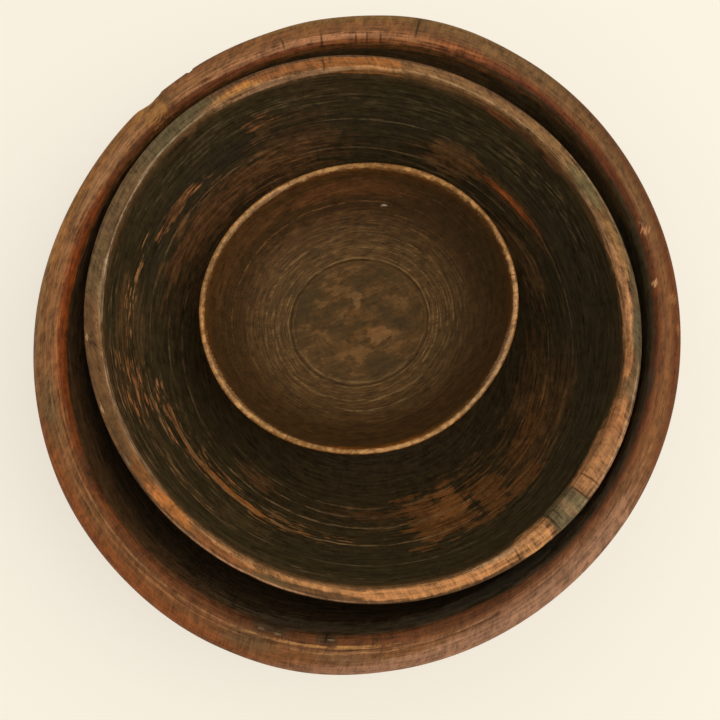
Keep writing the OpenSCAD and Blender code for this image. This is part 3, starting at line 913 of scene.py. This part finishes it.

# %% [markdown]
# ## The small bowl's wood
# The thinnest bowl is the most used: its rim is rubbed to gold, and the wall is a warm brown
# full of short fine lines. The rim's colour also paints its light: a pale highlight along the top of the
# bead, and darker orange shade down both its sides. The floor inside the scribed ring is greyer and
# mottled.

# %% the small wood: ground and stains
tree, bsdf, along, spot = new_wood("small_turned_wood")
grain = float(BOWLS["small"]["grain"])
busy = levels(tree, along, (44.0, 66.0, 0.5, 1.0), (96.0, 110.0, 1.0, 0.3))
marks = use(tree, "fine marks", Around=4.0, Across=0.50, Dash_Around=5.5, Dash_Across=1.15,
            Grain=grain, Cloud=150.0, Seed=7.0,
            Lines=times(tree, busy, 0.50), Dashes=times(tree, busy, 0.34),
            Stains=0.40, Streaks=0.26, Pores=0.20)
grit = marks["Grit"]
# On the rim, from -3.0 to 3.6 mm along, the stops paint the bead's light: a pale highlight at 0.3 mm along
# its top, and darker orange shade down both its sides.
colour = ground(tree, along, [
    (-112, (64, 43, 25)), (-50, (88, 58, 31)), (-8, (96, 64, 33)), (-3.0, (122, 72, 30)),
    (-1.3, (136, 84, 38)), (0.3, (190, 144, 90)), (1.7, (152, 101, 50)), (3.6, (122, 74, 31)),
    (6.6, (82, 51, 22)), (16, (68, 46, 21)), (45, (66, 44, 20)), (80, (85, 60, 31)), (158, (88, 62, 31))])
colour = wear_and_light(tree, colour, spot, [
    (95, 32, 25, 8, (98, 60, 31), 0.8), (150, 30, 22, 9, (88, 57, 29), 0.6),
    (25, 44, 26, 18, (57, 41, 20), 0.6), (155, 14, 110, 12, (70, 55, 30), 0.6),
    (300, 16, 108, 10, (74, 57, 32), 0.5), (125, 40, 62, 14, (90, 62, 34), 0.6),
    (180, 22, 104, 6, (72, 55, 30), 0.4), (60, 26, 128, 6, (102, 71, 40), 0.5),
    (230, 30, 118, 6, (102, 73, 40), 0.5), (0, 400, 148, 3, (104, 71, 35), 0.6),
    (348, 26, 60, 24, (72, 52, 28), 0.5)], grit, 1.4, 0.45)
# The pale patches near 0 mm along lie on the top of the bead: rubbed wood, with the bead's highlight
# painted in.
colour = wear_and_light(tree, colour, spot, [
    (4, 14, 0.4, 1.6, (204, 154, 110), 0.7), (76, 22, 0.4, 2.2, (124, 84, 46), 0.7),
    (250, 14, 0.2, 1.8, (132, 92, 50), 0.6), (165, 16, 0.6, 1.8, (138, 104, 68), 0.6),
    (35, 24, 4, 3, (84, 58, 30), 0.7), (78, 20, 2.4, 2.2, (152, 106, 60), 0.5),
    (108, 16, 1.6, 1.8, (184, 136, 88), 0.6), (138, 24, 2.6, 2.2, (174, 137, 101), 0.75),
    (178, 12, 5, 3, (86, 58, 28), 0.6), (206, 13, 0.4, 1.4, (188, 142, 92), 0.6),
    (222, 24, 3.5, 4.5, (166, 125, 80), 0.7), (223, 4, 0, 1.6, (188, 146, 96), 0.7),
    (268, 9, 6.2, 4.8, (124, 72, 22), 0.9), (288, 17, 5.8, 4.6, (126, 73, 22), 0.9),
    (285, 18, -0.2, 1.4, (198, 150, 100), 0.6), (314, 16, 5, 4.6, (110, 79, 43), 0.75),
    (326, 22, 0.2, 1.4, (178, 146, 110), 0.65), (338, 13, 4, 4.5, (156, 120, 88), 0.75),
    (355, 6, 1.6, 1.2, (196, 148, 106), 0.6)], marks["Streak"], 0.8, 0.35)
print("small wall and rim laid up")

# %% the small wood: lines, flecks and the scribed ring
broken = stretch(tree, marks["Streak"], 0.15, 0.6)
thin = times(tree, stretch(tree, marks["Dash"], 0.2, 0.6), broken)
colour = wear_and_light(tree, colour, spot, [
    (125, 72, 40.5, 0.8, (122, 85, 49), 0.7), (150, 42, 74, 0.9, (130, 98, 60), 0.7),
    (40, 52, 73, 0.8, (124, 92, 54), 0.6), (284, 32, 69, 0.9, (120, 98, 68), 0.7),
    (230, 62, 81, 0.8, (120, 94, 57), 0.6), (60, 72, 85, 0.8, (122, 94, 57), 0.6),
    (330, 42, 88, 0.9, (124, 96, 59), 0.7), (40, 60, 78, 0.7, (116, 88, 51), 0.5),
    (300, 40, 79.5, 0.8, (124, 100, 65), 0.6), (150, 50, 64, 0.7, (114, 84, 48), 0.5),
    (40, 30, 59, 0.7, (110, 80, 46), 0.5), (90, 30, 28, 0.7, (124, 82, 46), 0.6),
    (190, 40, 91, 0.8, (118, 90, 53), 0.5), (20, 60, 92, 0.8, (124, 94, 57), 0.6),
    (280, 50, 102, 0.8, (114, 88, 53), 0.5), (200, 60, 56, 0.7, (104, 76, 42), 0.5),
    (110, 60, 51, 0.7, (104, 74, 40), 0.5), (320, 50, 50, 0.7, (96, 70, 38), 0.5),
    (170, 50, 86, 0.8, (116, 88, 52), 0.5), (80, 50, 110, 0.9, (110, 82, 47), 0.5),
    (250, 60, 95, 0.8, (112, 84, 49), 0.5)],
    grit, 1.0, through=thin)
on_floor = stretch(tree, along, 96.0, 106.0)
blotch = use(tree, "long grain", Grain=grain, Fine=62.0, Stretch=0.7, Seed=19.0)["Value"]
colour = mottle(tree, colour, blotch, 0.60, 0.80, 0.6, on_floor, (120, 85, 47))
colour = mottle(tree, colour, blotch, 0.40, 0.22, 0.55, on_floor, (66, 51, 27))
colour = wear_and_light(tree, colour, spot, [
    (325, 24, 137, 9, (126, 88, 50), 0.75), (240, 20, 131, 7, (108, 76, 40), 0.6),
    (95, 12, 136, 8, (124, 90, 54), 0.7), (200, 26, 138, 7, (68, 53, 29), 0.6),
    (20, 24, 132, 8, (74, 56, 31), 0.5)], torn_by(tree, blotch, grit), 1.6, 0.22)
on_wall = levels(tree, along, (50.0, 68.0), (104.0, 96.0))
colour = mottle(tree, colour, marks["Dash"], 0.62, 0.86, 0.22, on_wall, (130, 103, 66))
gold = use(tree, "turning lines", Around=26.0, Across=0.30, Seed=29.0)["Value"]
on_rim = levels(tree, along, (-3.0, -1.0), (6.0, 3.0))
colour = mottle(tree, colour, gold, 0.5, 0.95, 0.5, on_rim, (210, 160, 98))
colour = mottle(tree, colour, gold, 0.45, 0.1, 0.5, on_rim, (112, 74, 36))
# The dark line at 97 mm along paints shade into the scribed cut, which the mesh also cuts.
colour = wear_and_light(tree, colour, spot, [
    (0, 400, 97.0, 0.9, (52, 37, 20), 0.35), (90, 120, 95.2, 0.8, (132, 102, 63), 0.45),
    (260, 70, 99.8, 0.9, (126, 99, 63), 0.45), (150, 60, 101.6, 0.8, (58, 43, 24), 0.4)], grit, 1.4, 0.5)
colour = wear_and_light(tree, colour, spot, [
    (77.2, 1.3, 43.4, 0.9, (176, 158, 132), 0.9), (78.4, 0.6, 44.6, 0.8, (140, 120, 92), 0.7)], soft=0.6)
colour = cracks_of(tree, colour, spot, "small", (70, 46, 26), 0.6)
finish_wood("small", tree, bsdf, colour, marks, 0.60, 0.0005)

# %% [markdown]
# ## Floor and light
# A pale cream floor, wide enough to fill the picture, and soft light: an even sky with a large soft lamp
# above and to the right, which leaves the left walls of the bowls a little brighter than the right ones.
# For the eye alone the floor glows by half, so that it stays pale and still takes the bowls' shadow.

# %% what only the eye sees
def seen_ray(tree):
    """1 for rays from the eye, or by way of gloss or glass, and 0 for rays that carry light."""
    path = put(tree, "ShaderNodeLightPath").outputs
    bent = reckon(tree, "MAXIMUM", path["Is Glossy Ray"], path["Is Transmission Ray"])
    return reckon(tree, "MAXIMUM", path["Is Camera Ray"], bent)


print("seen rays: camera, glossy and transmission")

# %% the floor
FLOOR_WIDE = 60  # metres
FLOOR_DROP = 0.0005  # just under the foot, so that the two faces never coincide
GLOW_SHARE = 0.50
bpy.ops.mesh.primitive_plane_add(size=FLOOR_WIDE, location=(0, 0, -FLOOR_DROP))
floor = bpy.context.object
floor.name = "floor"
cream = bpy.data.materials.new("cream_floor")
cream.use_nodes = True
tree = cream.node_tree
bsdf = tree.nodes["Principled BSDF"]
bsdf.inputs["Base Color"].default_value = tint(250, 243, 229)
bsdf.inputs["Roughness"].default_value = 0.9
bsdf.inputs["Specular IOR Level"].default_value = 0.1
seen = seen_ray(tree)
glow = put(tree, "ShaderNodeEmission", {"Color": tint(255, 248, 235), "Strength": 1.0}).outputs[0]
feeds = {0: times(tree, seen, GLOW_SHARE), 1: bsdf.outputs[0], 2: glow}
both = put(tree, "ShaderNodeMixShader", feeds).outputs[0]
feed(tree, tree.nodes["Material Output"].inputs["Surface"], both)
floor.data.materials.append(cream)
print("floor", round(floor.dimensions.x, 1), "m wide")

# %% the light
sky = bpy.data.worlds.new("even_sky")
sky.use_nodes = True
tree = sky.node_tree
light = tree.nodes["Background"]
light.inputs["Color"].default_value = (1.0, 0.98, 0.91, 1)
light.inputs["Strength"].default_value = 0.80
pale = put(tree, "ShaderNodeBackground", {"Color": tint(247, 240, 226), "Strength": 1.0})
feeds = {0: seen_ray(tree), 1: light.outputs[0], 2: pale.outputs[0]}
both = put(tree, "ShaderNodeMixShader", feeds).outputs[0]
feed(tree, tree.nodes["World Output"].inputs["Surface"], both)
bpy.context.scene.world = sky
lamp = bpy.data.objects.new("soft_lamp", bpy.data.lights.new("soft_lamp", "AREA"))
lamp.data.shape = "SQUARE"
lamp.data.size = 2.5
lamp.data.energy = 39
lamp.data.color = (1.0, 0.96, 0.87)
lamp.location = (2.2, -0.4, 3.0)
lamp.rotation_euler = (-lamp.location).to_track_quat("-Z", "Y").to_euler()
bpy.context.collection.objects.link(lamp)
print("lamp", lamp.data.energy, "W at", [round(v, 2) for v in lamp.location])
